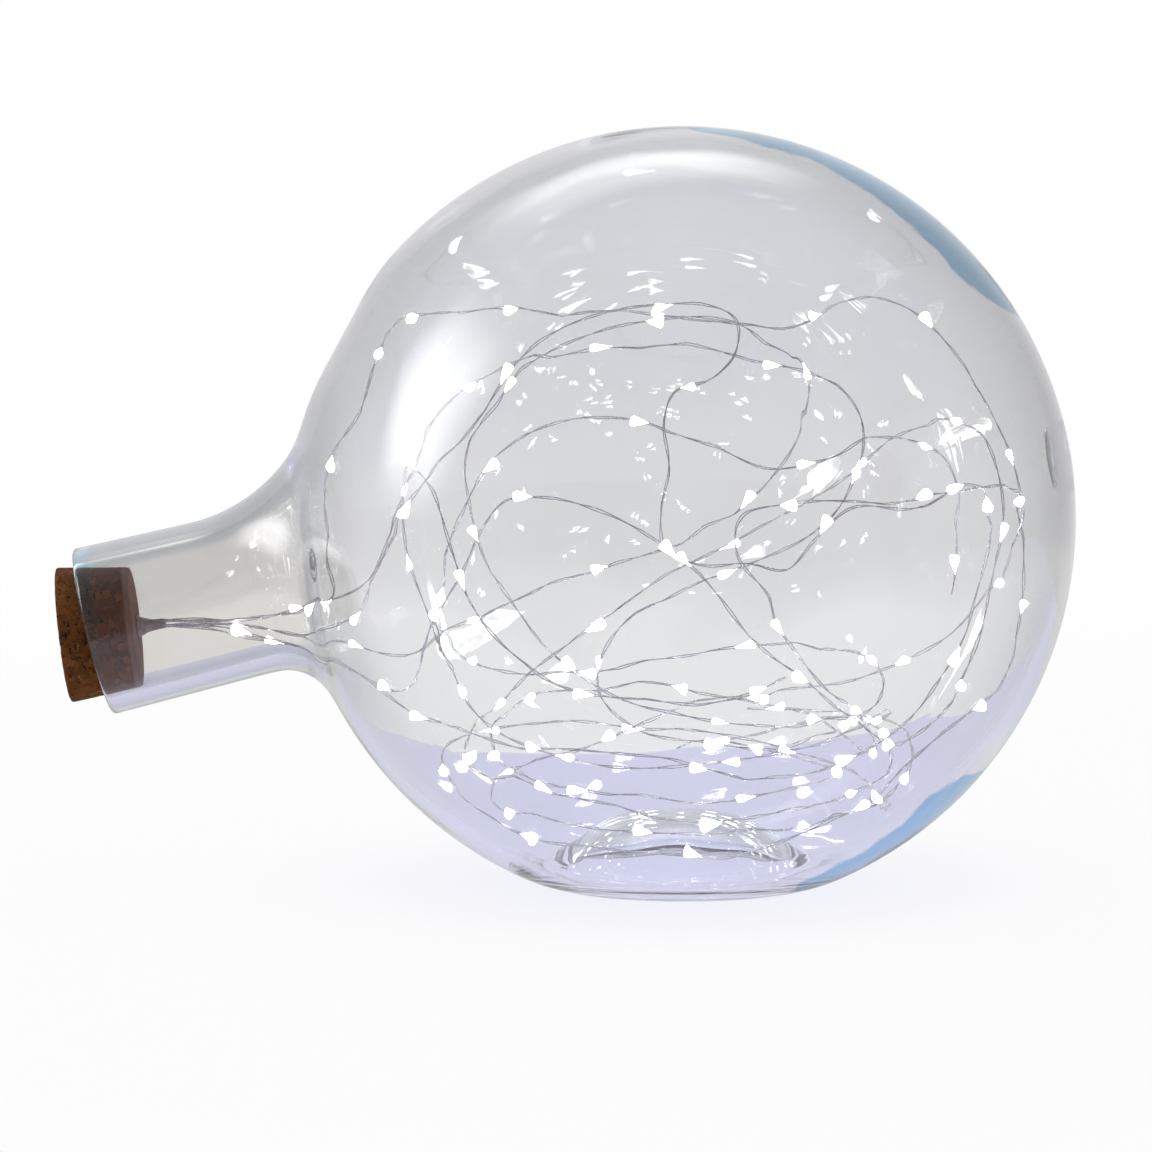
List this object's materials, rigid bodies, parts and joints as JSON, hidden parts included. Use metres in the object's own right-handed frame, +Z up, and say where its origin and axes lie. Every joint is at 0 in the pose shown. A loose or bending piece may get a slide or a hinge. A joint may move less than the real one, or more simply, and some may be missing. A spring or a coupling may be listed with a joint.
{
  "type": "decorative led globe",
  "caption": "Blown glass ball lying on its side with a short neck, closed by a cork that holds a battery module and feeds strands of small lights looped inside.",
  "frame": {"origin": "on the surface it stands on, under the middle of the whole object", "axes": "+Z up, -X along the neck towards the cork, +Y to the back of the view in the picture"},
  "size_m": [0.26, 0.1992, 0.1929],
  "materials": {
    "clear_glass": "clear",
    "cork": "granular",
    "black_plastic": "fine matt",
    "grey_rubber": "matt",
    "nickel_steel": "satin",
    "spring_brass": "satin",
    "board_laminate": "solder mask",
    "chip_resin": "matt",
    "seal_glue": "translucent",
    "silver_wire": "enamelled"
  },
  "bodies": {
    "globe": {"glass_globe": "clear_glass", "light_strand_1": "silver_wire", "light_strand_2": "silver_wire", "light_strand_3": "silver_wire", "light_strand_4": "silver_wire", "light_strand_5": "silver_wire", "light_strand_6": "silver_wire"},
    "stopper": {"cork_stopper": "cork", "battery_case": "black_plastic", "circuit_board": "board_laminate", "driver_chip": "chip_resin", "resistor": "chip_resin", "lower_spring": "spring_brass", "lower_cell": "nickel_steel", "upper_cell": "nickel_steel", "contact_strip": "spring_brass", "upper_spring": "spring_brass", "click_switch": "black_plastic", "wire_seal": "seal_glue"},
    "cap": {"twist_cap": "black_plastic"},
    "button": {"power_button": "grey_rubber"}
  },
  "joints": [
    {"name": "stopper_slide", "type": "slide", "parent": "globe", "child": "stopper", "axis": [-0.9932, 0, -0.1167], "range_m": [0, 0.03]},
    {"name": "cap_turn", "type": "hinge", "parent": "stopper", "child": "cap", "pos_m": [-0.12048, 0, 0.06406], "axis": [-0.9932, 0, -0.1167], "range_deg": [0, 32]},
    {"name": "button_press", "type": "slide", "parent": "stopper", "child": "button", "axis": [0.9932, 0, 0.1167], "range_m": [0, 0.001], "stiffness_N_per_m": 400}
  ]
}
